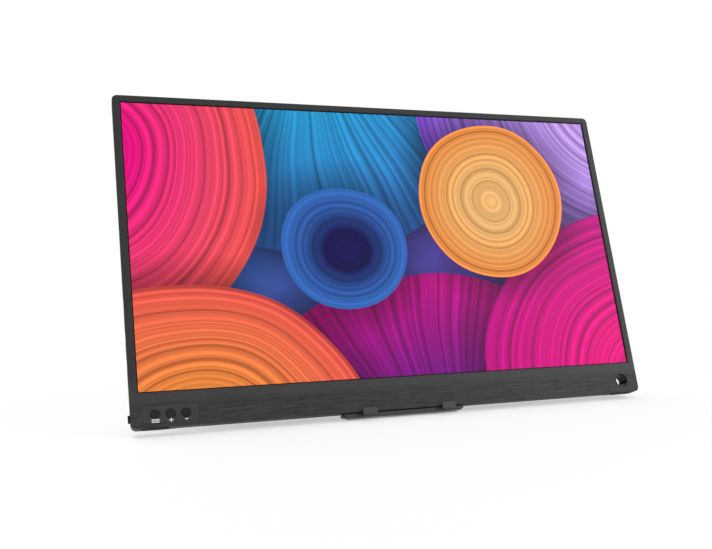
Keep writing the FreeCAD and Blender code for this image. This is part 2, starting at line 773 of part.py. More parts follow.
def rear_cover():
    """The rear shell with the stand cover's recess, socket openings, speaker slots, posts and ribs."""
    body = rear_shell().cut(rear_hollow())
    recess = back_prism(
        recess_outline(FLAP_SIDE_CLEAR, -OVERRUN, FLAP_TOP), recess_back, CASE_DEPTH + OVERRUN
    )
    body = body.cut(recess)
    posts = [rod_y(x, z, STANDOFF_RADIUS, main_board_back, back_inside) for x, z in main_board_holes()]
    boss_front = recess_inside - HINGE_BOSS_LENGTH
    posts += [rod_y(x, z, BOSS_RADIUS, boss_front, recess_inside) for x, z in hinge_screw_places()]
    for share in RIB_SHARES:
        left = case_half * share - RIB_WIDTH / 2
        high = RIB_LOW + RIB_HEIGHT
        posts.append(block(left, left + RIB_WIDTH, pan_back, recess_inside, RIB_LOW, high))
    for x in tray_screw_places():
        left = x - TRAY_BOSS_RADIUS
        right = x + TRAY_BOSS_RADIUS
        posts.append(block(left, right, BEZEL_DEPTH, recess_inside, 0, SIDE_WALL + TRAY_BOSS_HEIGHT))
    body = joined([body] + posts)
    cuts = [screw_seat(V(x, main_board_front, z), V(0, 1, 0), SCREW_BITE) for x, z in main_board_holes()]
    bracket_bite = BRACKET_THICK + RECESS_WALL + HINGE_BOSS_LENGTH
    cuts += [screw_seat(hinge_screw_head(x, z), V(0, -1, 0), bracket_bite) for x, z in hinge_screw_places()]
    cuts += [tray_screw_seat(x) for x in tray_screw_places()]
    cuts += [case_screw_seat(x) for x in case_screw_places()]
    cuts += side_cuts()
    return body.cut(cuts)


def side_cuts():
    """Openings through the rear cover's sides."""
    left = -case_half - OVERRUN
    cuts = [pen_hole(sleeve_radius + SLEEVE_FIT)]
    for z in usb_places():
        cuts.append(port_way(z, USB_WIDTH, USB_HEIGHT, USB_HEIGHT / 2))
    cuts.append(port_way(PORT_BOARD_LOW + HDMI_RISE, HDMI_WIDTH, HDMI_HEIGHT, HDMI_RADIUS))
    button_back = POWER_FRONT + POWER_DEPTH + POWER_CLEAR
    button_half = POWER_HEIGHT / 2 + POWER_CLEAR
    cuts.append(
        block(
            left,
            -inner_half + OVERRUN,
            POWER_FRONT - POWER_CLEAR,
            button_back,
            POWER_RISE - button_half,
            POWER_RISE + button_half,
        )
    )
    wheel_half = WHEEL_RADIUS + WHEEL_CLEAR
    cuts.append(
        block(
            case_half - SIDE_WALL - WHEEL_CLEAR,
            case_half + OVERRUN,
            arm_front - WHEEL_AIR,
            arm_back,
            WHEEL_RISE - wheel_half,
            WHEEL_RISE + wheel_half,
        )
    )
    first = speaker_middle() - SLOT_PITCH * (SLOT_COUNT - 1) / 2
    for turn in range(SLOT_COUNT):
        z = first + SLOT_PITCH * turn
        low = z - SLOT_WIDTH / 2
        high = z + SLOT_WIDTH / 2
        radius = SLOT_WIDTH / 2
        cuts.append(side_plate(SLOT_FRONT, SLOT_BACK, low, high, radius, left, -inner_half + OVERRUN))
        cuts.append(side_plate(SLOT_FRONT, SLOT_BACK, low, high, radius, inner_half - OVERRUN, -left))
    return cuts


def usb_places():
    """The heights of the two USB sockets' middles."""
    first = PORT_BOARD_LOW + USB_LOW_RISE
    return [first, first + USB_PITCH]


def port_way(z, width, height, radius):
    """The opening in the left side that a socket shows through."""
    low = z - width / 2 - PORT_CLEAR
    high = z + width / 2 + PORT_CLEAR
    front = port_board_front - height - PORT_CLEAR
    back = port_board_front + PORT_CLEAR
    corner = min(radius + PORT_CLEAR, (back - front) / 2)
    return side_plate(front, back, low, high, corner, -case_half - OVERRUN, -inner_half + OVERRUN)


def port(z, width, height, radius):
    """A socket: a metal shell, closed at the back, round a tongue."""
    low = z - width / 2
    high = z + width / 2
    front = port_board_front - height
    back = port_board_front
    corner = min(radius, height / 2)
    inner_corner = max(corner - PORT_SHELL, corner / 2)
    far = port_face + PORT_DEPTH
    shell = side_plate(front, back, low, high, corner, port_face, far)
    hollow = side_plate(
        front + PORT_SHELL,
        back - PORT_SHELL,
        low + PORT_SHELL,
        high - PORT_SHELL,
        inner_corner,
        port_face - OVERRUN,
        far - PORT_BACK,
    )
    middle = (front + back) / 2
    tongue = block(
        far - PORT_BACK - PORT_TONGUE_LENGTH,
        far - PORT_BACK / 2,
        middle - PORT_TONGUE_THICK / 2,
        middle + PORT_TONGUE_THICK / 2,
        low + PORT_SHELL + PORT_TONGUE_SIDE,
        high - PORT_SHELL - PORT_TONGUE_SIDE,
    )
    return joined([shell.cut(hollow), tongue])


def port_board():
    """The narrow board behind the sockets."""
    high = PORT_BOARD_LOW + PORT_BOARD_HEIGHT
    return block(-side_board_outer, -side_board_inner, port_board_front, back_inside, PORT_BOARD_LOW, high)


def board_cable():
    """The flat cable between the port board and the main board."""
    left = -side_board_outer + (side_board_width - BOARD_CABLE_WIDTH) / 2
    low = PORT_BOARD_LOW + PORT_BOARD_HEIGHT - BOARD_CABLE_LAP
    bend_low = main_board_low + STANDOFF_EDGE + STANDOFF_RADIUS + PANEL_CLEAR
    bend_high = bend_low + BOARD_CABLE_WIDTH
    up = block(left, left + BOARD_CABLE_WIDTH, main_board_back, port_board_front, low, bend_high)
    right = main_board_left + BOARD_CABLE_LAP
    across = block(left, right, main_board_back, port_board_front, bend_low, bend_high)
    return joined([up, across])


def main_board():
    """The board that drives the monitor, on four posts of the rear cover."""
    high = main_board_low + MAIN_BOARD_HEIGHT
    body = block(main_board_left, main_board_right, main_board_front, main_board_back, main_board_low, high)
    heads = [V(x, main_board_front, z) for x, z in main_board_holes()]
    return body.cut([screw_seat(head, V(0, 1, 0), SCREW_BITE) for head in heads])


def main_board_screws():
    """The screws of the main board."""
    along = V(0, 1, 0)
    length = SCREW_BITE - SCREW_FIT
    return Part.makeCompound([screw(V(x, main_board_front, z), along, length) for x, z in main_board_holes()])


def board_place(share_x, share_z):
    """A place on the main board, as shares of its width and height."""
    return main_board_left + MAIN_BOARD_WIDTH * share_x, main_board_low + MAIN_BOARD_HEIGHT * share_z


def main_chips():
    """Chips and coils on the main board."""
    solids = []
    for places, side, thick in (
        (CHIP_PLACE_SHARES, CHIP_SIDE, CHIP_THICK),
        (COIL_PLACE_SHARES, COIL_SIDE, COIL_THICK),
    ):
        for shares in places:
            x, z = board_place(*shares)
            left = x - side / 2
            low = z - side / 2
            front = main_board_front - thick
            solids.append(block(left, left + side, front, main_board_front, low, low + side))
    return Part.makeCompound(solids)


def shield_can():
    """The thin metal lid over the main board's radio and power part."""
    x, z = board_place(SHIELD_PLACE_SHARE, CHIP_PLACE_SHARES[0][1])
    left = x - SHIELD_WIDTH / 2
    low = z - SHIELD_HEIGHT / 2
    front = main_board_front - SHIELD_THICK
    body = block(left, left + SHIELD_WIDTH, front, main_board_front, low, low + SHIELD_HEIGHT)
    hollow = block(
        left + SHIELD_WALL,
        left + SHIELD_WIDTH - SHIELD_WALL,
        front + SHIELD_WALL,
        main_board_front + OVERRUN,
        low + SHIELD_WALL,
        low + SHIELD_HEIGHT - SHIELD_WALL,
    )
    return body.cut(hollow)


def speaker(side):
    """A flat speaker on the rear cover's inside, at the left or the right."""
    outer = deep_half - PANEL_CLEAR
    inner = outer - SPEAKER_WIDTH
    low = speaker_middle() - SPEAKER_LENGTH / 2
    high = low + SPEAKER_LENGTH
    front = back_inside - SPEAKER_THICK
    edges = sorted((side * inner, side * outer))
    body = plate(*edges, low, high, SPEAKER_RADIUS, front, back_inside)
    rim = SPEAKER_CONE_EDGE
    cone_half = SPEAKER_WIDTH / 2 - rim
    cone = plate(
        edges[0] + rim,
        edges[1] - rim,
        low + rim,
        high - rim,
        cone_half,
        front - SPEAKER_CONE_RISE,
        front,
    )
    return joined([body, cone])


def power_button():
    """The push button on the left side, with the flange that keeps it in."""
    half = POWER_HEIGHT / 2
    back = POWER_FRONT + POWER_DEPTH
    face = -case_half - POWER_PROUD
    flange_left = -inner_half + STOP_CLEAR
    flange_right = flange_left + POWER_FLANGE_THICK
    cap = block(face, flange_right, POWER_FRONT, back, POWER_RISE - half, POWER_RISE + half)
    rim = [edge for edge in cap.Edges if edge.BoundBox.XMax < -case_half]
    cap = cap.makeFillet(min(POWER_EDGE, POWER_PROUD / 2), rim)
    reach = POWER_FLANGE_REACH
    flange = block(
        flange_left, flange_right, POWER_FRONT, back, POWER_RISE - half - reach, POWER_RISE + half + reach
    )
    return joined([cap, flange])


def power_switch():
    """The switch behind the power button, on the back of the button board."""
    left = -inner_half + STOP_CLEAR + POWER_FLANGE_THICK + POWER_TRAVEL + STOP_CLEAR
    low = POWER_RISE - POWER_SWITCH_HEIGHT / 2
    back = button_board_back + POWER_SWITCH_THICK
    right = left + POWER_SWITCH_LENGTH
    return block(left, right, button_board_back, back, low, low + POWER_SWITCH_HEIGHT)


def jog_wheel():
    """The grooved thumb wheel that stands out of the right side."""
    body = rod_y(wheel_x, WHEEL_RISE, WHEEL_RADIUS, wheel_front, wheel_back)
    cuts = [rod_y(wheel_x, WHEEL_RISE, AXLE_RADIUS + AXLE_FIT, wheel_front - OVERRUN, wheel_back + OVERRUN)]
    for turn in range(WHEEL_GROOVES):
        angle = 2 * math.pi * turn / WHEEL_GROOVES
        x = wheel_x + WHEEL_RADIUS * math.cos(angle)
        z = WHEEL_RISE + WHEEL_RADIUS * math.sin(angle)
        cuts.append(rod_y(x, z, WHEEL_GROOVE_RADIUS, wheel_front - OVERRUN, wheel_back + OVERRUN))
    return body.cut(cuts)


def wheel_axle():
    """The pin that the wheel turns on, held by the wheel switch's two arms."""
    return rod_y(wheel_x, WHEEL_RISE, AXLE_RADIUS, arm_front, arm_back)


def wheel_switch():
    """The switch above the wheel, with two arms that carry the wheel's axle."""
    low = WHEEL_RISE + WHEEL_RADIUS + WHEEL_CLEAR
    right = inner_half - PANEL_CLEAR
    left = right - WHEEL_SWITCH_WIDTH
    body = block(left, right, arm_front, arm_back, low, low + WHEEL_SWITCH_HEIGHT)
    arm_left = wheel_x - AXLE_RADIUS - ARM_EDGE
    arm_right = wheel_x + AXLE_RADIUS + ARM_EDGE / 2
    arm_low = WHEEL_RISE - AXLE_RADIUS - ARM_EDGE
    near = block(arm_left, arm_right, arm_front, arm_front + ARM_THICK, arm_low, low)
    far = block(arm_left, arm_right, arm_back - ARM_THICK, arm_back, arm_low, low)
    tie_high = low + SIDE_WALL
    tie = block(arm_left, min(arm_right, right), arm_front, arm_back, low, tie_high)
    whole = joined([body, near, far, tie])
    bore = AXLE_RADIUS + SCREW_FIT
    return whole.cut(rod_y(wheel_x, WHEEL_RISE, bore, arm_front - OVERRUN, arm_back + OVERRUN))


def wheel_board():
    """The small board that carries the wheel switch."""
    high = WHEEL_BOARD_LOW + WHEEL_BOARD_HEIGHT
    return block(side_board_inner, side_board_outer, port_board_front, back_inside, WHEEL_BOARD_LOW, high)


def pen_hole_sleeve():
    """The lining of the round hole, from the chin's face to the back."""
    outer = rod_y(hole_x, HOLE_RISE, sleeve_radius, 0, CASE_DEPTH)
    return outer.cut(pen_hole(HOLE_RADIUS))


def case_magnets():
    """Magnets inside the rear cover that hold the stand cover shut."""
    front = recess_inside - MAGNET_THICK
    places = (-magnet_place, magnet_place)
    return Part.makeCompound([rod_y(x, MAGNET_RISE, MAGNET_RADIUS, front, recess_inside) for x in places])


def flap_keepers():
    """Steel plates in the stand cover that the magnets pull."""
    back = flap_front + KEEPER_THICK
    places = (-magnet_place, magnet_place)
    return Part.makeCompound([rod_y(x, MAGNET_RISE, MAGNET_RADIUS, flap_front, back) for x in places])


def hinge_bracket(x):
    """A steel bracket on the rear cover: a plate with an ear at each end for the hinge pin."""
    half = BRACKET_WIDTH / 2
    low = hinge_z - BRACKET_HEIGHT
    plate_back = recess_back + BRACKET_THICK
    base_high = hinge_z - knuckle_radius - NOTCH_CLEAR
    shapes = [block(x - half, x + half, recess_back, plate_back, low, base_high)]
    for left in (x - half, x + half - EAR_WIDTH):
        right = left + EAR_WIDTH
        shapes.append(block(left, right, recess_back, plate_back, low, hinge_z))
        shapes.append(
            block(left, right, recess_back, hinge_y, hinge_z - knuckle_radius, hinge_z + knuckle_radius)
        )
        shapes.append(rod_x(hinge_y, hinge_z, knuckle_radius, left, right))
    body = joined(shapes)
    bore = rod_x(hinge_y, hinge_z, PIN_RADIUS + SCREW_FIT, x - half - OVERRUN, x + half + OVERRUN)
    bite = BRACKET_THICK + RECESS_WALL
    seats = [screw_seat(hinge_screw_head(*place), V(0, -1, 0), bite) for place in hinge_screw_places()]
    return body.cut([bore] + seats)


def hinge_pin(x):
    """The pin through a bracket's two ears and the leaf's barrel between them."""
    half = BRACKET_WIDTH / 2
    return rod_x(hinge_y, hinge_z, PIN_RADIUS, x - half, x + half)


def hinge_screws():
    """The screws of the two hinge brackets."""
    along = V(0, -1, 0)
    length = BRACKET_THICK + RECESS_WALL + HINGE_BOSS_LENGTH - SCREW_FIT
    return Part.makeCompound([screw(hinge_screw_head(x, z), along, length) for x, z in hinge_screw_places()])


def hinge_leaf(x):
    """The barrel that turns on a pin and the leaf that joins it to the stand cover."""
    left = x - leaf_half
    right = x + leaf_half
    barrel = rod_x(hinge_y, hinge_z, knuckle_radius, left, right)
    leaf = block(left, right, leaf_front, leaf_back, hinge_z - LEAF_LENGTH, hinge_z)
    body = joined([barrel, leaf])
    bore = rod_x(hinge_y, hinge_z, PIN_RADIUS + PIN_FIT, left - OVERRUN, right + OVERRUN)
    return body.cut([bore] + leaf_screw_seats())


def leaf_screw_heads():
    """The tops of the leaf screws' heads."""
    z = hinge_z - LEAF_SCREW_DROP
    sides = (-hinge_place, hinge_place)
    spreads = (-LEAF_SCREW_SPREAD, LEAF_SCREW_SPREAD)
    return [V(x + spread, leaf_front, z) for x in sides for spread in spreads]


def leaf_screw_length():
    """The leaf screws end halfway through the stand cover's outer skin."""
    return LEAF_THICK + LEAF_SKIN / 2


def leaf_screw_seats():
    """The holes of the leaf screws."""
    return [screw_seat(head, V(0, 1, 0), leaf_screw_length()) for head in leaf_screw_heads()]


def leaf_screws():
    """The screws that hold the leaves to the stand cover."""
    length = leaf_screw_length()
    return Part.makeCompound([screw(head, V(0, 1, 0), length) for head in leaf_screw_heads()])


def flap_panel():
    """The stand cover's panel, with round lower corners and a rounded rim on its outside."""
    panel = back_prism(recess_outline(0, flap_low, hinge_z), flap_front, CASE_DEPTH)
    foot = V(0, 0, flap_low)
    corners = [edge for edge in edges_in_plane(panel, foot, V(0, 0, 1)) if edge.Length < FLAP_THICK + TOUCH]
    panel = panel.makeFillet(FLAP_CORNER, corners)
    rim = []
    for edge in edges_in_plane(panel, V(0, CASE_DEPTH, 0), V(0, 1, 0)):
        if any(corner.Z < hinge_z - TOUCH for corner in edge.Vertexes):
            rim.append(edge)
    return panel.makeFillet(min(FLAP_EDGE, FLAP_THICK / 3), rim)


def stand_flap():
    """The stand cover: a flat panel with a round upper edge, shut against the back."""
    panel = flap_panel()
    half = case_half - FLAP_MARGIN
    body = joined([panel, rod_x(hinge_y, hinge_z, knuckle_radius, -half, half)])
    cuts = [block(-strip_half, strip_half, flap_front - OVERRUN, CASE_DEPTH + OVERRUN, -OVERRUN, strip_top)]
    reach = BRACKET_WIDTH / 2 + NOTCH_CLEAR
    for x in (-hinge_place, hinge_place):
        left = x - reach
        right = x + reach
        notch_low = hinge_z - NOTCH_DEPTH
        leaf_low = hinge_z - LEAF_LENGTH - SCREW_FIT
        cuts.append(block(left, right, flap_front - OVERRUN, CASE_DEPTH + OVERRUN, notch_low, FLAP_TOP))
        cuts.append(block(left, right, flap_front - OVERRUN, leaf_back, leaf_low, FLAP_TOP))
    for x in (-magnet_place, magnet_place):
        radius = MAGNET_RADIUS + SCREW_FIT
        cuts.append(rod_y(x, MAGNET_RISE, radius, flap_front - OVERRUN, flap_front + KEEPER_THICK))
    return body.cut(cuts + leaf_screw_seats())


def flap_foot():
    """The rubber strip along the stand cover's lower edge, round where it meets the desk."""
    middle = FLAP_BOTTOM_GAP + knuckle_radius
    edge = rod_x(hinge_y, middle, knuckle_radius, -strip_half, strip_half)
    strip = block(-strip_half, strip_half, flap_front, CASE_DEPTH, middle, strip_top)
    return joined([edge, strip])


def tray_screw_seat(x):
    """The way of one tray screw, up through the tray into the rear cover's bottom."""
    sink = rod_z(x, TRAY_SCREW_DEPTH, SCREW_HEAD_RADIUS + SCREW_FIT, tray_bottom - OVERRUN, tray_head)
    return joined([sink, screw_seat(V(x, TRAY_SCREW_DEPTH, tray_head), V(0, 0, 1), tray_screw_length)])


def tray_screws():
    """The screws of the hook tray."""
    heads = [V(x, TRAY_SCREW_DEPTH, tray_head) for x in tray_screw_places()]
    return Part.makeCompound([screw(head, V(0, 0, 1), tray_screw_length) for head in heads])


def hook_places():
    """The middles of the two hooks."""
    return [TRAY_OFFSET - HOOK_SPREAD, TRAY_OFFSET + HOOK_SPREAD]


def tray_hook(x):
    """One hook: an arm that runs forward from the tray and a tab with round corners at its end."""
    half = HOOK_WIDTH / 2
    low = tray_bottom + HOOK_LIFT
    back = HOOK_THICK - HOOK_REACH
    tab = plate(x - half, x + half, low, HOOK_RISE, HOOK_RADIUS, -HOOK_REACH, back)
    rims = edges_in_plane(tab, V(0, -HOOK_REACH, 0), V(0, 1, 0))
    rims += edges_in_plane(tab, V(0, back, 0), V(0, 1, 0))
    edge_radius = min(HOOK_EDGE, HOOK_THICK / 3)
    tab = tab.makeFillet(edge_radius, rims)
    arm_half = half - HOOK_RADIUS
    root = TRAY_FRONT + TRAY_RADIUS
    arm = block(x - arm_half, x + arm_half, back - HOOK_THICK / 2, root, low + edge_radius, tray_top)
    return [tab, arm]


def tray_base():
    """The tray's body, close under the bottom edge, with ends that slope in towards the desk."""
    foot = [(tray_left + TRAY_END_SLOPE, tray_bottom), (tray_right - TRAY_END_SLOPE, tray_bottom)]
    outline = foot + [(tray_right, tray_top), (tray_left, tray_top)]
    corners = [V(x, TRAY_FRONT, z) for x, z in outline]
    body = prism(corners, V(0, TRAY_BACK - TRAY_FRONT, 0))
    slanted = [edge for edge in body.Edges if edge.BoundBox.ZLength > TRAY_THICK / 2]
    body = body.makeFillet(TRAY_RADIUS, slanted)
    rims = edges_in_plane(body, V(0, 0, tray_bottom), V(0, 0, 1))
    rims += edges_in_plane(body, V(0, 0, tray_top), V(0, 0, 1))
    return body.makeFillet(min(TRAY_EDGE, TRAY_THICK / 3), rims)


def hook_tray():
    """The tray under the bottom edge, with two hooks in front of the chin."""
    shapes = [tray_base()]
    for x in hook_places():
        shapes += tray_hook(x)
    for x in tray_screw_places():
        shapes.append(rod_z(x, TRAY_SCREW_DEPTH, TRAY_BOSS_RADIUS / 2, tray_bottom, 0))
    heel = pad_heel + desk_up * PAD_THICK + desk_along * OVERRUN
    toe = heel - desk_along * (TRAY_BACK + HOOK_REACH + OVERRUN + OVERRUN)
    below = desk_up * -(TRAY_THICK + OVERRUN)
    sideways = V(tray_left - OVERRUN, 0, 0)
    corners = [point + sideways for point in (heel, toe, toe + below, heel + below)]
    desk_cut = prism(corners, V(tray_right - tray_left + OVERRUN + OVERRUN, 0, 0))
    return joined(shapes).cut([desk_cut] + [tray_screw_seat(x) for x in tray_screw_places()])


def hook_pads():
    """Soft pads on the hooks' inner faces."""
    solids = []
    front = HOOK_THICK - HOOK_REACH
    for x in hook_places():
        half = HOOK_WIDTH / 2 - HOOK_PAD_EDGE
        high = tray_top + HOOK_PAD_HEIGHT
        solids.append(block(x - half, x + half, front, -HOOK_PAD_AIR, tray_top, high))
    return Part.makeCompound(solids)


def tray_foot():
    """The rubber pad under the tray's heel, whose underside lies flat on the desk."""
    toe = pad_heel - desk_along * PAD_LENGTH
    up = desk_up * PAD_THICK
    inset = TRAY_END_SLOPE + PAD_END_INSET
    sideways = V(tray_left + inset, 0, 0)
    corners = [point + sideways for point in (pad_heel, toe, toe + up, pad_heel + up)]
    return prism(corners, V(tray_right - tray_left - inset - inset, 0, 0))


def corner_foot(side):
    """A rubber foot under one bottom corner."""
    ends = sorted((side * (case_half - FOOT_INSET), side * (case_half - FOOT_INSET - FOOT_LENGTH)))
    foot = floor_plate(*ends, FOOT_FRONT, FOOT_FRONT + FOOT_WIDTH, FOOT_RADIUS, -FOOT_THICK, 0)
    rim = edges_in_plane(foot, V(0, 0, -FOOT_THICK), V(0, 0, 1))
    return foot.makeFillet(min(FOOT_EDGE, FOOT_THICK / 2), rim)


def fixed_pieces():
    """Everything that keeps its place in the case."""
    usb_low, usb_high = usb_places()
    return {
        "front_bezel": front_bezel(),
        "chin_trim": chin_trim(),
        "control_plate": control_plate(),
        "screen_glass": screen_glass(),
        "diffuser_sheet": backlight_sheet(glass_back, diffuser_back),
        "light_guide": backlight_sheet(diffuser_back, guide_back),
        "reflector_sheet": backlight_sheet(guide_back, reflector_back),
        "led_bar": led_bar(),
        "panel_pan": panel_pan(),
        "driver_board": driver_board(),
        "panel_cable": panel_cable(),
        "rear_cover": rear_cover(),
        "case_screws": case_screws(),
        "main_board": main_board(),
        "main_board_screws": main_board_screws(),
        "main_chips": main_chips(),
        "shield_can": shield_can(),
        "board_cable": board_cable(),
        "port_board": port_board(),
        "usb_port_low": port(usb_low, USB_WIDTH, USB_HEIGHT, USB_HEIGHT / 2),
        "usb_port_high": port(usb_high, USB_WIDTH, USB_HEIGHT, USB_HEIGHT / 2),
        "hdmi_port": port(PORT_BOARD_LOW + HDMI_RISE, HDMI_WIDTH, HDMI_HEIGHT, HDMI_RADIUS),
        "speaker_left": speaker(-1),
        "speaker_right": speaker(1),
        "button_board": button_board(),
        "button_switches": button_switches(),
        "power_switch": power_switch(),
        "wheel_board": wheel_board(),
        "wheel_switch": wheel_switch(),
        "wheel_axle": wheel_axle(),
        "pen_hole_sleeve": pen_hole_sleeve(),
        "case_magnets": case_magnets(),
        "hinge_bracket_left": hinge_bracket(-hinge_place),
        "hinge_bracket_right": hinge_bracket(hinge_place),
        "hinge_pin_left": hinge_pin(-hinge_place),
        "hinge_pin_right": hinge_pin(hinge_place),
        "hinge_screws": hinge_screws(),
        "hook_tray": hook_tray(),
        "hook_pads": hook_pads(),
        "tray_foot": tray_foot(),
        "tray_screws": tray_screws(),
        "foot_left": corner_foot(-1),
        "foot_right": corner_foot(1),
    }


def moving_pieces():
    """The buttons and the wheel, at rest."""
    pieces = {f"button_{name}": front_button(x) for name, x in zip(BUTTON_NAMES, button_places())}
    pieces["power_button"] = power_button()
    pieces["jog_wheel"] = jog_wheel()
    return pieces


def stand_pieces():
    """The stand cover and what is fixed to it, swung open about its hinge."""
    pieces = {
        "stand_flap": stand_flap(),
        "hinge_leaf_left": hinge_leaf(-hinge_place),
        "hinge_leaf_right": hinge_leaf(hinge_place),
        "leaf_screws": leaf_screws(),
        "flap_foot": flap_foot(),
        "flap_keepers": flap_keepers(),
    }
    for shape in pieces.values():
        shape.rotate(V(0, hinge_y, hinge_z), V(1, 0, 0), FLAP_OPENING)
    return pieces


def lean_back(shape):
    """Sets an upright shape on the desk, with the pad's underside at the origin."""
    shape.translate(desk_origin * -1)
    shape.rotate(V(0, 0, 0), V(1, 0, 0), -lean)
    return shape


def main():
    os.makedirs("parts", exist_ok=True)
    pieces = {**fixed_pieces(), **moving_pieces(), **stand_pieces()}
    for name, shape in pieces.items():
        lean_back(shape).exportStep(f"parts/{name}.step")
    print(f"{len(pieces)} pieces, leaning back {lean:.2f} degrees")


if __name__ == "__main__":
    main()
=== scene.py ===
import json
import math

import bmesh
import bpy
from mathutils import Matrix, Vector


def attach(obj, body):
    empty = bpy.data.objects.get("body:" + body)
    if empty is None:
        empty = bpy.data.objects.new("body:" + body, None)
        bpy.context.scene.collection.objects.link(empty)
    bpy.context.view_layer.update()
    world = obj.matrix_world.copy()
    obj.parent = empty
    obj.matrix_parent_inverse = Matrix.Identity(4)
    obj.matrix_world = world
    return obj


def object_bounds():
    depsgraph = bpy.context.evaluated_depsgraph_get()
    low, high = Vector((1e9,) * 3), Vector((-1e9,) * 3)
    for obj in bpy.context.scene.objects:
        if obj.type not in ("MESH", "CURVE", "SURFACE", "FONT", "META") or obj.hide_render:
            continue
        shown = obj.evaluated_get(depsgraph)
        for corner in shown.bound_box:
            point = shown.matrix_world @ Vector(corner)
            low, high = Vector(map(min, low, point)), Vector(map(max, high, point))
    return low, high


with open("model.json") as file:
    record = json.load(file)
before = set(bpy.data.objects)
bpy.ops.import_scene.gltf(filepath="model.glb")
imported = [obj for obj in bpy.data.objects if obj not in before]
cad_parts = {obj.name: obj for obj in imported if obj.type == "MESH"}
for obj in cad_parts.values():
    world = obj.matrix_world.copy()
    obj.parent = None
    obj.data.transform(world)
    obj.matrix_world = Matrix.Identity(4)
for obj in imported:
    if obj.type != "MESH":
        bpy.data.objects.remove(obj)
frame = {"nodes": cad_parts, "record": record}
cad_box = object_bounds()
record = frame["record"]
nodes = frame["nodes"]

# A portable monitor that leans back on its open stand cover and its hook tray, seen from its front left.
# Lengths are metres in the frame's own axes: +X to the viewer's right, +Y to the back, +Z up.
# Upright axes are the same axes turned so that the screen stands straight up.

# Camera
CAMERA_PLACE = (-0.19431, -0.53471, 0.11498)
CAMERA_TURN = (83.035, 0.315, -20.382)
CAMERA_LENS = 43.668
CAMERA_SHIFT = (-0.0822, 0.1024)

# Floor and light
FLOOR_SIZE = 6.0
FLOOR_TINT = (0.95, 0.95, 0.95)
# The floor is this much plain white near the object, less close under it, where an occlusion measure holds
# the white back as painted shade that deepens the shadow, and all white from the fade's end.
FLOOR_LIFT = 0.88
CONTACT_LIFT = 0.5
CONTACT_REACH = 0.03
CONTACT_RANGE = (0.5, 0.97)
FADE_START = 0.20
FADE_END = 0.60
WORLD_STRENGTH = 0.38
# Each softbox: place, width, height and watts. All look at the middle of the case.
SOFTBOXES = {
    "right_box": ((0.8, -0.5, 0.6), 0.6, 0.6, 7.6),
    "back_box": ((-0.5, 0.9, 1.1), 0.9, 0.8, 15.0),
}

# Marks printed under the buttons
MARK_PROUD = 0.00003
MARK_SUNK = 0.00002
MARK_RISE = 0.0012
MARK_ROUND = 0.00012
BAR_WIDTH = 0.0046
BAR_THICK = 0.00046
BAR_PITCH = 0.00084
SIGN_SPAN = 0.0026
MINUS_SPAN = 0.0019
SIGN_THICK = 0.00056

# The bezel is painted lighter towards the band under the screen, over this height: painted light.
PAINTED_LIGHT_FADE = 0.010

# Streaks of the brushed trim, which fade out towards its top
STREAK_LENGTH = 0.024
STREAK_THICK = 0.0003
STREAK_FADE = 0.0022

# Depth of the hooks' lighter paint on their fronts, behind which their sides and arms are painted darker as
# shade, and height of the painted shadow along the tray's top edge at the slit
HOOK_PAINT = 0.0006
SLIT_SHADE = 0.0012

# Lit part of the screen, inside the edges of the glass
LIT_SIDE = 0.0026
LIT_FOOT = 0.0044


def srgb(red, green, blue):
    """A colour as it looks on a screen, from 0 to 255, as the linear colour that shaders take."""
    shares = (red / 255, green / 255, blue / 255)
    return tuple(c / 12.92 if c <= 0.04045 else ((c + 0.055) / 1.055) ** 2.4 for c in shares)


def grey(level):
    """A neutral colour."""
    return (level, level, level)


# The case's dark grey, and a near black that is painted shade: in the gap behind the tray, on the pads behind
# the hooks, and deepening the hole lining's own black
CASE_GREY = (0.046, 0.046, 0.0468)
SHADE_BLACK = (0.003, 0.003, 0.0033)

# Grain: texture scales count per metre, and relief and softened edges are lengths.
# Noise mostly stays inside this range, so it is spread out from there.
NOISE_RANGE = (0.3, 0.7)
PLASTIC_GRAIN = 2600.0
PLASTIC_RELIEF = 0.000012
CLOUD_SCALE = 38.0
GRAIN_SHARE = 0.6
TONE_SWING = 0.14
GLOSS_SWING = 0.05
SOFT_EDGE = 0.00018
CASE_ROUGH = 0.48
SATIN = {"grain": 4200.0, "depth": 0.000004}
RUBBER = {"roughness": 0.6, "specular": 0.25, "grain": 1500.0, "depth": 0.00003}
LINING = {"grain": 1200.0, "depth": 0.000002, "soften": 0.0}
PAINT_GRAIN = 1700.0
PAINT_RELIEF = 0.00001
PAINT_EDGE = 0.0002
# Tone of the painted shadow along the tray's top edge at the slit
SLIT_TONE = 0.08
INK_SPECKS = 6000.0
INK_RELIEF = 0.000004
SCREEN_GRAIN = 5200.0

# Brushed surfaces: how streaks and dashes are drawn from noise
STREAK_RANGE = (0.34, 0.66)
DASH_RANGE = (0.50, 0.66)
DASH_LENGTH_SHARE = 1 / 3
DASH_THICK_SHARE = 1.4
DASH_TONE = 0.5
TRIM_RELIEF = 0.000008
TRIM_EDGE = 0.00015
ROLL_LENGTH = 0.05
ROLL_THICK = 0.0004
METAL_RELIEF = 0.000006
SCRATCH_SCALE = (900.0, 5200.0, 5200.0)
STEEL_CLOUD = 160.0

# Boards, cables and sheets inside the case
BOARD_TRACKS = {"Scale": 120.0, "Mortar Size": 0.035, "Brick Width": 0.7, "Row Height": 0.22}
BOARD_RELIEF = 0.00002
PAD_SCALE = 420.0
PAD_RANGE = (0.70, 0.72)
CABLE_ROWS = 320.0
CABLE_RELIEF = 0.00003
DOT_SCALE = 900.0
DOT_RANGE = (0.1, 0.5)
DOT_RELIEF = 0.00001

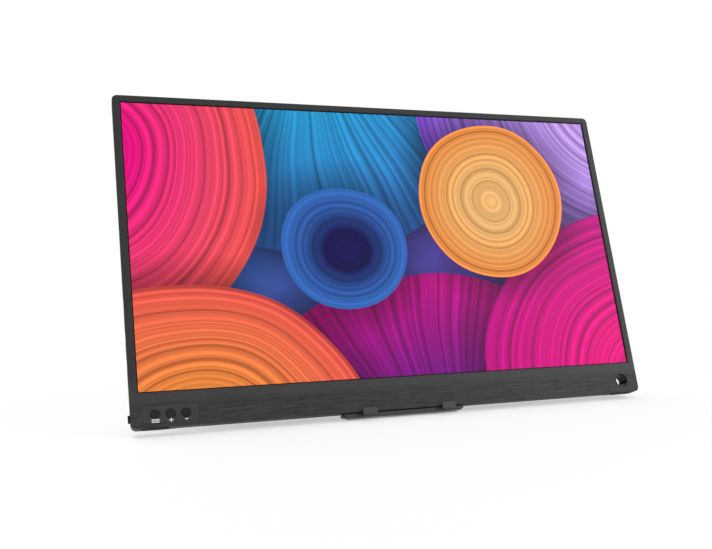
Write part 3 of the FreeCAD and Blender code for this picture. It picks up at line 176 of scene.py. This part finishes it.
# The picture: rounds that overlap like cut paper. Places and radii are shares of the picture's height.
CORAL = srgb(255, 92, 82)
ORANGE = srgb(255, 150, 64)
GOLD = srgb(255, 196, 120)
PINK = srgb(255, 0, 140)
MAGENTA = srgb(205, 0, 140)
VIOLET = srgb(136, 76, 222)
LAVENDER = srgb(208, 166, 255)
CYAN = srgb(34, 168, 224)
AZURE = srgb(58, 120, 212)
NAVY = srgb(22, 18, 88)
INDIGO = srgb(58, 24, 140)
# Each round: place, radius, colour at its middle, colour at its rim, and whether its lines are rings or rays.
ROUNDS = (
    ((0.62, 1.38), 0.92, CYAN, AZURE, "rays"),
    ((1.95, 1.12), 0.92, LAVENDER, VIOLET, "rings"),
    ((-0.22, 0.80), 0.70, PINK, CORAL, "rings"),
    ((1.02, -0.50), 0.88, INDIGO, MAGENTA, "rays"),
    ((0.18, -0.22), 0.58, ORANGE, CORAL, "rings"),
    ((1.86, -0.06), 0.66, PINK, MAGENTA, "rings"),
    ((1.32, 0.66), 0.30, GOLD, ORANGE, "rings"),
    ((0.72, 0.48), 0.23, NAVY, AZURE, "rings"),
)
PICTURE_LINES = {"rings": 46.0, "rays": 30.0}
LINE_TONES = (0.46, 1.10)
LINE_RANGE = (0.3, 0.68)
PICTURE_GROUND = (0.2, 1.6)
PICTURE_DRIFT = 1.5
PICTURE_WARP = 0.10
PICTURE_CORE_SHARE = 0.35
PICTURE_SHADE = 0.12
PICTURE_SHADE_TONE = 0.45
PICTURE_RIM = 0.003


def mount(name):
    """A mount of the record, by its name."""
    return next(m for m in record["mounts"] if m["name"] == name)


hole_axis = Vector(mount("pen_hole")["axis"])
lean = math.atan2(hole_axis.z, -hole_axis.y)
to_row = Matrix.Rotation(-lean, 4, "X")
to_upright = Matrix.Rotation(lean, 4, "X")


def upright_box(name):
    """A node's lowest and highest corner in upright axes."""
    points = [to_upright @ v.co for v in nodes[name].data.vertices]
    low = Vector(min(p[k] for p in points) for k in range(3))
    high = Vector(max(p[k] for p in points) for k in range(3))
    return low, high


class Finish:
    """One procedural material, built node by node on Object coordinates."""

    def __init__(self, name, roughness=0.5, metallic=0.0, specular=0.5):
        self.material = bpy.data.materials.new(name)
        self.material.use_nodes = True
        self.tree = self.material.node_tree
        self.shader = self.tree.nodes["Principled BSDF"]
        self.shader.inputs["Roughness"].default_value = roughness
        self.shader.inputs["Metallic"].default_value = metallic
        self.shader.inputs["Specular IOR Level"].default_value = specular
        self.coords = self.add("ShaderNodeTexCoord").outputs["Object"]

    def add(self, kind, settings=None, **inputs):
        """A node with its settings, whose inputs are values or other nodes' outputs."""
        made = self.tree.nodes.new(kind)
        for key, value in (settings or {}).items():
            setattr(made, key, value)
        for key, value in inputs.items():
            self.feed(made.inputs[key.replace("_", " ")], value)
        return made

    def feed(self, socket, value):
        """Puts a value or another node's output into a socket."""
        if isinstance(value, bpy.types.NodeSocket):
            self.tree.links.new(value, socket)
        else:
            socket.default_value = value

    def math(self, operation, first, second=0.0):
        made = self.add("ShaderNodeMath", {"operation": operation})
        self.feed(made.inputs[0], first)
        self.feed(made.inputs[1], second)
        return made.outputs[0]

    def upright(self):
        """Object coordinates in upright axes."""
        return self.add("ShaderNodeMapping", Vector=self.coords, Rotation=(lean, 0.0, 0.0)).outputs[0]

    def split(self, vector):
        """A vector's X, Y and Z, by name."""
        return self.add("ShaderNodeSeparateXYZ", Vector=vector).outputs

    def stretched(self, vector, scale):
        """Coordinates scaled along each axis."""
        return self.add("ShaderNodeMapping", Vector=vector, Scale=scale).outputs[0]

    def noise(self, vector, scale, detail=3.0, roughness=0.55):
        return self.add(
            "ShaderNodeTexNoise", Vector=vector, Scale=scale, Detail=detail, Roughness=roughness
        ).outputs["Fac"]

    def spread(self, value, low, high, start=0.0, end=1.0):
        """A value between start and end, spread out from low to high."""
        made = self.add("ShaderNodeMapRange", {"clamp": True}, Value=value)
        for key, number in (("From Min", start), ("From Max", end), ("To Min", low), ("To Max", high)):
            self.feed(made.inputs[key], number)
        return made.outputs["Result"]

    def mixed(self, share, first, second, blend="MIX"):
        """Two colours mixed by a share."""
        made = self.add("ShaderNodeMix", {"data_type": "RGBA", "blend_type": blend})
        self.feed(made.inputs[0], share)
        for socket, value in ((made.inputs[6], first), (made.inputs[7], second)):
            self.feed(socket, (*value, 1.0) if isinstance(value, tuple) else value)
        return made.outputs[2]

    def scaled(self, colour, share):
        """A colour made lighter or darker by a share."""
        made = self.add("ShaderNodeVectorMath", {"operation": "SCALE"})
        self.feed(made.inputs[0], colour)
        self.feed(made.inputs["Scale"], share)
        return made.outputs[0]

    def coloured(self, colour):
        self.feed(self.shader.inputs["Base Color"], colour)

    def tinted(self, share, dark, light):
        """The base colour runs from dark to light with a share."""
        self.coloured(self.mixed(share, dark, light))

    def grained(self, colour, roughness, grain, depth, soften):
        """The base colour with fine grain and faint cloudiness, and slightly uneven gloss."""
        fine = self.noise(self.coords, grain, 2.0)
        cloud = self.noise(self.coords, CLOUD_SCALE, 4.0)
        grain_part = self.math("MULTIPLY", fine, GRAIN_SHARE)
        both = self.math("ADD", grain_part, self.math("MULTIPLY", cloud, 1.0 - GRAIN_SHARE))
        tone = self.spread(both, 1.0 - TONE_SWING, 1.0 + TONE_SWING, *NOISE_RANGE)
        self.coloured(self.scaled(colour, tone))
        self.rough(self.spread(cloud, roughness - GLOSS_SWING, roughness + GLOSS_SWING, *NOISE_RANGE))
        self.bumped(fine, depth, soften)

    def rough(self, value):
        self.feed(self.shader.inputs["Roughness"], value)

    def bumped(self, height, distance, soften=0.0):
        """Relief of a depth in metres, over edges that are softened by a radius."""
        made = self.add("ShaderNodeBump", Height=height, Distance=distance, Strength=1.0)
        if soften:
            edge = self.add("ShaderNodeBevel", {"samples": 4}, Radius=soften)
            self.feed(made.inputs["Normal"], edge.outputs["Normal"])
        self.feed(self.shader.inputs["Normal"], made.outputs["Normal"])


def shade(colour, share):
    """A colour made lighter or darker."""
    return tuple(c * share for c in colour)


def moulded(
    name, colour, roughness, specular, grain=PLASTIC_GRAIN, depth=PLASTIC_RELIEF, soften=SOFT_EDGE
):
    """Moulded plastic or rubber: fine grain, faint cloudiness and slightly uneven gloss."""
    made = Finish(name, roughness, specular=specular)
    made.grained(colour, roughness, grain, depth, soften)
    return made.material


def bezel_finish(name, colour, band):
    """The front shell's plastic, painted lighter in the band under the screen as painted light."""
    made = Finish(name, CASE_ROUGH, specular=0.09)
    foot = upright_box("screen_glass")[0].z + LIT_FOOT
    painted_light_share = made.spread(made.split(made.upright())["Z"], 0.0, 1.0, foot - PAINTED_LIGHT_FADE / 3, foot + PAINTED_LIGHT_FADE)
    tone = made.mixed(painted_light_share, band, colour)
    made.grained(tone, CASE_ROUGH, PLASTIC_GRAIN, PLASTIC_RELIEF, SOFT_EDGE)
    return made.material


def streaks(made, length, thick, detail):
    """Noise drawn out along X into streaks of a length and a thickness."""
    drawn_out = made.stretched(made.upright(), (1 / length, 1 / thick, 1 / thick))
    return made.noise(drawn_out, 1.0, detail, roughness=0.6)


def brushed(made, colour, length, thick, contrast, dash):
    """Fine streaks along X in lighter and darker tones, with darker dashes among them."""
    fine = made.spread(streaks(made, length, thick, 4.0), 0.0, 1.0, *STREAK_RANGE)
    short = streaks(made, length * DASH_LENGTH_SHARE, thick * DASH_THICK_SHARE, 1.0)
    dashes = made.spread(short, 0.0, dash, *DASH_RANGE)
    tone = made.mixed(fine, shade(colour, 1.0 - contrast), shade(colour, 1.0 + contrast))
    return made.mixed(dashes, tone, shade(colour, DASH_TONE)), fine


def trim_finish(name, colour, painted_light_tone):
    """The chin's brushed strip: dark dashes along it that fade at its top into the bezel band's lighter tone,
    which is painted light.
    """
    made = Finish(name, 0.5, specular=0.08)
    tone, fine = brushed(made, colour, STREAK_LENGTH, STREAK_THICK, contrast=0.25, dash=0.8)
    top = upright_box("chin_trim")[1].z
    near_top = made.spread(made.split(made.upright())["Z"], 0.0, 1.0, top - STREAK_FADE, top)
    made.coloured(made.mixed(near_top, tone, painted_light_tone))
    made.rough(made.spread(fine, 0.56, 0.44))
    made.bumped(fine, TRIM_RELIEF, TRIM_EDGE)
    return made.material


def sheet_metal(name, colour, roughness):
    """Bare sheet metal with long rolling marks."""
    made = Finish(name, roughness, 1.0)
    tone, fine = brushed(made, colour, ROLL_LENGTH, ROLL_THICK, contrast=0.12, dash=0.2)
    made.coloured(tone)
    made.rough(made.spread(fine, roughness + 0.08, roughness - 0.06))
    made.bumped(fine, METAL_RELIEF)
    return made.material


def turned_steel(name, colour, roughness):
    """Plain steel: cloudy gloss and very fine scratches."""
    made = Finish(name, roughness, 1.0)
    fine = made.noise(made.stretched(made.coords, SCRATCH_SCALE), 1.0, 3.0)
    cloud = made.noise(made.coords, STEEL_CLOUD, 3.0)
    made.tinted(made.spread(cloud, 0.0, 1.0, *NOISE_RANGE), shade(colour, 0.82), shade(colour, 1.1))
    made.rough(made.spread(fine, roughness - 0.08, roughness + 0.12, *NOISE_RANGE))
    made.bumped(fine, METAL_RELIEF)
    return made.material


def circuit_board(name):
    """Solder mask over a lattice of tracks, with bright pads."""
    made = Finish(name, 0.42)
    flat = made.upright()
    turned = made.add("ShaderNodeMapping", Vector=flat, Rotation=(math.pi / 2, 0.0, 0.0)).outputs[0]
    bricks = made.add("ShaderNodeTexBrick", Vector=turned)
    for key, value in BOARD_TRACKS.items():
        made.feed(bricks.inputs[key], value)
    tracks = made.mixed(bricks.outputs["Fac"], srgb(24, 92, 52), srgb(46, 132, 74))
    pads = made.spread(made.noise(flat, PAD_SCALE, 0.0), 0.0, 1.0, *PAD_RANGE)
    made.coloured(made.mixed(pads, tracks, srgb(206, 190, 140)))
    made.bumped(bricks.outputs["Fac"], BOARD_RELIEF)
    return made.material


def flat_cable(name):
    """Film over a row of conductors."""
    made = Finish(name, 0.4)
    rows = made.add("ShaderNodeTexWave", Vector=made.coords, Scale=CABLE_ROWS, Distortion=0.0)
    made.tinted(rows.outputs["Fac"], srgb(196, 186, 160), srgb(236, 230, 214))
    made.bumped(rows.outputs["Fac"], CABLE_RELIEF)
    return made.material


def optical_sheet(name):
    """White translucent sheet with rows of fine dots."""
    made = Finish(name, 0.35)
    dots = made.add("ShaderNodeTexVoronoi", Vector=made.coords, Scale=DOT_SCALE).outputs["Distance"]
    made.tinted(made.spread(dots, 1.0, 0.0, *DOT_RANGE), srgb(226, 229, 233), srgb(246, 248, 250))
    made.bumped(dots, DOT_RELIEF)
    return made.material


def round_lines(made, place, centre, kind):
    """Uneven fine lines on one round of the picture: rings about its middle, or rays from it."""
    away = made.add("ShaderNodeVectorMath", {"operation": "SUBTRACT"})
    made.feed(away.inputs[0], place)
    made.feed(away.inputs[1], centre)
    parts = made.split(away.outputs[0])
    angle = made.math("ARCTAN2", parts["Z"], parts["X"])
    length = made.add("ShaderNodeVectorMath", {"operation": "LENGTH"})
    made.feed(length.inputs[0], away.outputs[0])
    reach = length.outputs["Value"]
    run = reach if kind == "rings" else angle
    lines = made.add("ShaderNodeTexNoise", {"noise_dimensions": "1D"}, Detail=3.0, Roughness=0.6, Scale=1.0)
    made.feed(lines.inputs["W"], made.math("MULTIPLY", run, PICTURE_LINES[kind]))
    return reach, lines.outputs["Fac"]


def picture(made, place):
    """Rounds of bright colour that overlap, each with fine lines and a soft shade under its rim."""
    drift = made.add("ShaderNodeTexNoise", Vector=place, Scale=PICTURE_DRIFT, Detail=1.0)
    middled = made.add("ShaderNodeVectorMath", {"operation": "SUBTRACT"})
    made.feed(middled.inputs[0], drift.outputs["Color"])
    made.feed(middled.inputs[1], (0.5, 0.5, 0.5))
    warp = made.add("ShaderNodeVectorMath", {"operation": "MULTIPLY_ADD"})
    made.feed(warp.inputs[0], middled.outputs[0])
    made.feed(warp.inputs[1], (PICTURE_WARP, 0.0, PICTURE_WARP))
    made.feed(warp.inputs[2], place)
    place = warp.outputs[0]
    across = made.split(place)["X"]
    colour = made.mixed(made.spread(across, 0.0, 1.0, *PICTURE_GROUND), AZURE, VIOLET)
    for (x, z), radius, middle, rim, kind in ROUNDS:
        reach, lines = round_lines(made, place, (x, 0.0, z), kind)
        blend = made.spread(reach, 0.0, 1.0, radius * PICTURE_CORE_SHARE, radius)
        streaked = made.scaled(made.mixed(blend, middle, rim), made.spread(lines, *LINE_TONES, *LINE_RANGE))
        shadow = made.spread(reach, PICTURE_SHADE_TONE, 1.0, radius, radius + PICTURE_SHADE)
        under = made.scaled(colour, shadow)
        inside = made.spread(reach, 1.0, 0.0, radius - PICTURE_RIM, radius)
        colour = made.mixed(inside, under, streaked)
    return colour


def lit_screen(name):
    """Matt screen: a picture that gives its own light, inside a black border."""
    made = Finish(name, 0.38, specular=0.05)
    low, high = upright_box("screen_glass")
    left = low.x + LIT_SIDE
    foot = low.z + LIT_FOOT
    width = high.x - LIT_SIDE - left
    height = high.z - LIT_SIDE - foot
    place = made.add("ShaderNodeMapping", Vector=made.upright())
    made.feed(place.inputs["Scale"], (1.0 / height, 0.0, 1.0 / height))
    made.feed(place.inputs["Location"], (-left / height, 0.0, -foot / height))
    parts = made.split(place.outputs[0])
    half_wide = width / height / 2
    inside = []
    for value, half in ((parts["X"], half_wide), (parts["Z"], 0.5)):
        compare = made.add("ShaderNodeMath", {"operation": "COMPARE"})
        made.feed(compare.inputs[0], value)
        made.feed(compare.inputs[1], half)
        made.feed(compare.inputs[2], half)
        inside.append(compare.outputs[0])
    lit = made.math("MULTIPLY", inside[0], inside[1])
    glow = made.mixed(lit, (0.0, 0.0, 0.0), picture(made, place.outputs[0]))
    made.feed(made.shader.inputs["Emission Color"], glow)
    made.shader.inputs["Emission Strength"].default_value = 1.0
    grain = made.noise(made.coords, SCREEN_GRAIN, 1.0)
    made.tinted(grain, (0.004, 0.004, 0.005), (0.008, 0.008, 0.009))
    made.rough(made.spread(grain, 0.34, 0.44, *NOISE_RANGE))
    return made.material


def tray_finish(name, hook, body):
    """Painted metal in two tones, lighter on the hooks' fronts and darker on the tray. Painted shade darkens
    the hooks' sides and arms and blackens the tray behind the chin's face, and a painted shadow runs along
    the tray's top edge at the slit.
    """
    made = Finish(name, 0.44, specular=0.16)
    fine = made.noise(made.coords, PAINT_GRAIN, 2.0)
    parts = made.split(made.upright())
    front = upright_box("hook_tray")[0].y
    # Behind the hooks' fronts, their sides and arms take the tray's darker tone: painted shade.
    behind = made.spread(parts["Y"], 0.0, 1.0, front + HOOK_PAINT / 3, front + HOOK_PAINT)
    foot = upright_box("front_bezel")[0].z
    # A painted shadow darkens the tray's top edge at the slit.
    slit_shadow = made.spread(parts["Z"], 1.0, SLIT_TONE, foot - SLIT_SHADE, foot - SLIT_SHADE / 2)
    face = upright_box("chin_trim")[0].y
    # Behind the chin's face the tray is painted near black: painted shade in the gap.
    on_tray = made.spread(parts["Y"], 0.0, 1.0, face - HOOK_PAINT / 3, face)
    tone = made.mixed(behind, hook, made.mixed(on_tray, SHADE_BLACK, made.scaled(body, slit_shadow)))
    made.coloured(made.scaled(tone, made.spread(fine, 0.9, 1.1)))
    made.rough(made.spread(fine, 0.40, 0.48, *NOISE_RANGE))
    made.bumped(fine, PAINT_RELIEF, PAINT_EDGE)
    return made.material


def make_finishes():
    """The finish of every material slot, and of the nodes that have their own."""
    return {
        "case_plastic": moulded("case_plastic", CASE_GREY, CASE_ROUGH, 0.14),
        # The bezel's band under the screen is painted lighter: painted light.
        "bezel_plastic": bezel_finish("bezel_plastic", CASE_GREY, shade(CASE_GREY, 1.38)),
        "cover_plastic": moulded("cover_plastic", shade(CASE_GREY, 0.86), 0.52, 0.18, depth=0.00002),
        # The trim's top fades into the same painted light as the bezel's band under the screen.
        "brushed_trim": trim_finish("brushed_trim", shade(CASE_GREY, 1.25), shade(CASE_GREY, 1.38)),
        "control_gloss": moulded("control_gloss", shade(CASE_GREY, 1.28), 0.44, 0.13, soften=0.0, **SATIN),
        "button_black": moulded("button_black", (0.020, 0.020, 0.021), 0.5, 0.13, **SATIN),
        "screen": lit_screen("screen"),
        "optical_sheet": optical_sheet("optical_sheet"),
        "panel_metal": sheet_metal("panel_metal", (0.6, 0.61, 0.63), 0.34),
        "bright_steel": turned_steel("bright_steel", (0.56, 0.56, 0.58), 0.3),
        "hinge_steel": turned_steel("hinge_steel", (0.10, 0.10, 0.105), 0.36),
        "board_green": circuit_board("board_green"),
        "chip_black": moulded("chip_black", (0.018, 0.018, 0.02), 0.55, 0.4, 1800.0),
        "flat_cable": flat_cable("flat_cable"),
        # The hole's lining is its own black, deepened to near black as painted shade in the hole.
        "hole_lining": moulded("hole_lining", SHADE_BLACK, 0.26, 0.12, **LINING),
        # The pads behind the hooks are painted near black as shade in the gap.
        "pad_shade_black": moulded("pad_shade_black", SHADE_BLACK, 0.5, 0.08, **LINING),
        "tray_metal": tray_finish("tray_metal", shade(CASE_GREY, 1.55), shade(CASE_GREY, 1.25)),
        "rubber_black": moulded("rubber_black", grey(0.02), **RUBBER),
        "pale_rubber": moulded("pale_rubber", grey(0.85), **RUBBER),
    }


def dress_nodes(finishes):
    """Gives every node the finish of its slot, or its own where it has one."""
    # The pads behind the hooks take the near black of painted shade.
    own = {"front_bezel": "bezel_plastic", "tray_foot": "pale_rubber", "hook_pads": "pad_shade_black"}
    own.update({name: "hinge_steel" for name in nodes if name.startswith("hinge_")})
    for entry in record["subparts"]:
        finish = finishes[own.get(entry["node"], entry["material_slot"])]
        for place in nodes[entry["node"]].material_slots:
            place.material = finish


def printed_ink():
    """White ink, slightly worn and uneven."""
    made = Finish("printed_ink", 0.6, specular=0.3)
    speck = made.noise(made.coords, INK_SPECKS, 2.0)
    made.tinted(made.spread(speck, 0.0, 1.0, *NOISE_RANGE), grey(0.88), grey(0.98))
    made.bumped(speck, INK_RELIEF)
    return made.material


def new_piece(name, shape, material):
    """An object at the origin from a shape that was modelled in upright axes."""
    shape.transform(to_row)
    bmesh.ops.recalc_face_normals(shape, faces=shape.faces)
    mesh = bpy.data.meshes.new(name)
    shape.to_mesh(mesh)
    shape.free()
    mesh.materials.append(material)
    made = bpy.data.objects.new(name, mesh)
    bpy.context.scene.collection.objects.link(made)
    return made


def add_bar(shape, middle, width, height, face):
    """A thin printed bar with rounded corners, on a face that looks to the front."""
    deep = MARK_PROUD + MARK_SUNK
    size = Matrix.Diagonal((width, deep, height, 1.0))
    place = Matrix.Translation((middle[0], face - MARK_PROUD + deep / 2, middle[1]))
    bar = bmesh.ops.create_cube(shape, size=1.0, matrix=place @ size)
    upright_edges = []
    for edge in {e for v in bar["verts"] for e in v.link_edges}:
        first, second = (v.co for v in edge.verts)
        if abs(first.y - second.y) > deep / 2:
            upright_edges.append(edge)
    bmesh.ops.bevel(
        shape, geom=upright_edges, offset=MARK_ROUND, affect="EDGES", segments=3, profile=0.5, material=-1
    )


def button_marks():
    """The printed signs under the three buttons: three bars, a plus and a minus."""
    low = upright_box("control_plate")[0]
    face = low.y
    z = low.z + MARK_RISE
    ink = printed_ink()
    bars = [((0.0, turn * BAR_PITCH), BAR_WIDTH, BAR_THICK) for turn in (-1, 0, 1)]
    plus = [((0.0, 0.0), SIGN_SPAN, SIGN_THICK), ((0.0, 0.0), SIGN_THICK, SIGN_SPAN)]
    minus = [((0.0, 0.0), MINUS_SPAN, SIGN_THICK)]
    for name, strokes in (("menu", bars), ("plus", plus), ("minus", minus)):
        button_low, button_high = upright_box(f"button_{name}")
        x = (button_low.x + button_high.x) / 2
        shape = bmesh.new()
        for (across, up), width, height in strokes:
            add_bar(shape, (x + across, z + up), width, height, face)
        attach(new_piece(f"{name}_mark", shape, ink), "case")


def floor_finish():
    """Pale floor that takes the object's shadow and turns plain white further out."""
    made = Finish("floor", 0.7, specular=0.2)
    made.coloured((*FLOOR_TINT, 1.0))
    centre = made.add("ShaderNodeVectorMath", {"operation": "LENGTH"})
    made.feed(centre.inputs[0], made.coords)
    far = made.add("ShaderNodeMapRange", {"interpolation_type": "SMOOTHSTEP"}, Value=centre.outputs["Value"])
    made.feed(far.inputs["From Min"], FADE_START)
    made.feed(far.inputs["From Max"], FADE_END)
    # Where the floor is hemmed in close under the object, less white is mixed in: painted shade that deepens
    # its shadow.
    clear = made.add("ShaderNodeAmbientOcclusion", {"samples": 16}, Distance=CONTACT_REACH).outputs["AO"]
    made.feed(far.inputs["To Min"], made.spread(clear, CONTACT_LIFT, FLOOR_LIFT, *CONTACT_RANGE))
    path = made.add("ShaderNodeLightPath")
    seen = path.outputs["Is Camera Ray"]
    for other in ("Is Glossy Ray", "Is Transmission Ray"):
        seen = made.math("MAXIMUM", seen, path.outputs[other])
    white = made.add("ShaderNodeEmission", Color=(1.0, 1.0, 1.0, 1.0), Strength=1.0)
    both = made.add("ShaderNodeMixShader")
    made.feed(both.inputs[0], made.math("MULTIPLY", far.outputs["Result"], seen))
    made.feed(both.inputs[1], made.shader.outputs[0])
    made.feed(both.inputs[2], white.outputs[0])
    made.feed(made.tree.nodes["Material Output"].inputs["Surface"], both.outputs[0])
    return made.material


def make_floor():
    shape = bmesh.new()
    bmesh.ops.create_grid(shape, x_segments=1, y_segments=1, size=FLOOR_SIZE / 2)
    mesh = bpy.data.meshes.new("floor")
    shape.to_mesh(mesh)
    shape.free()
    mesh.materials.append(floor_finish())
    floor = bpy.data.objects.new("floor", mesh)
    bpy.context.scene.collection.objects.link(floor)


def make_world():
    """Even light from all round; what is seen of it, straight or mirrored, is plain white."""
    world = bpy.data.worlds.new("studio")
    bpy.context.scene.world = world
    world.use_nodes = True
    tree = world.node_tree
    light = tree.nodes["Background"]
    light.inputs["Color"].default_value = (1.0, 1.0, 1.0, 1.0)
    light.inputs["Strength"].default_value = WORLD_STRENGTH
    white = tree.nodes.new("ShaderNodeBackground")
    white.inputs["Color"].default_value = (1.0, 1.0, 1.0, 1.0)
    path = tree.nodes.new("ShaderNodeLightPath")
    seen = path.outputs["Is Camera Ray"]
    for other in ("Is Glossy Ray", "Is Transmission Ray"):
        either = tree.nodes.new("ShaderNodeMath")
        either.operation = "MAXIMUM"
        tree.links.new(seen, either.inputs[0])
        tree.links.new(path.outputs[other], either.inputs[1])
        seen = either.outputs[0]
    both = tree.nodes.new("ShaderNodeMixShader")
    tree.links.new(seen, both.inputs[0])
    tree.links.new(light.outputs[0], both.inputs[1])
    tree.links.new(white.outputs[0], both.inputs[2])
    tree.links.new(both.outputs[0], tree.nodes["World Output"].inputs["Surface"])


def make_lights():
    middle = (cad_box[0] + cad_box[1]) / 2
    for name, (place, width, height, watts) in SOFTBOXES.items():
        data = bpy.data.lights.new(name, "AREA")
        data.shape = "RECTANGLE"
        data.size = width
        data.size_y = height
        data.energy = watts
        lamp = bpy.data.objects.new(name, data)
        bpy.context.scene.collection.objects.link(lamp)
        lamp.location = place
        lamp.rotation_euler = (middle - Vector(place)).to_track_quat("-Z", "Y").to_euler()


def make_camera():
    data = bpy.data.cameras.new("camera")
    data.sensor_width = 36.0
    data.lens = CAMERA_LENS
    data.shift_x, data.shift_y = CAMERA_SHIFT
    camera = bpy.data.objects.new("camera", data)
    bpy.context.scene.collection.objects.link(camera)
    camera.location = CAMERA_PLACE
    camera.rotation_euler = [math.radians(turn) for turn in CAMERA_TURN]
    bpy.context.scene.camera = camera


dress_nodes(make_finishes())
button_marks()
make_floor()
make_world()
make_lights()
make_camera()
bpy.context.scene.view_settings.view_transform = "Standard"
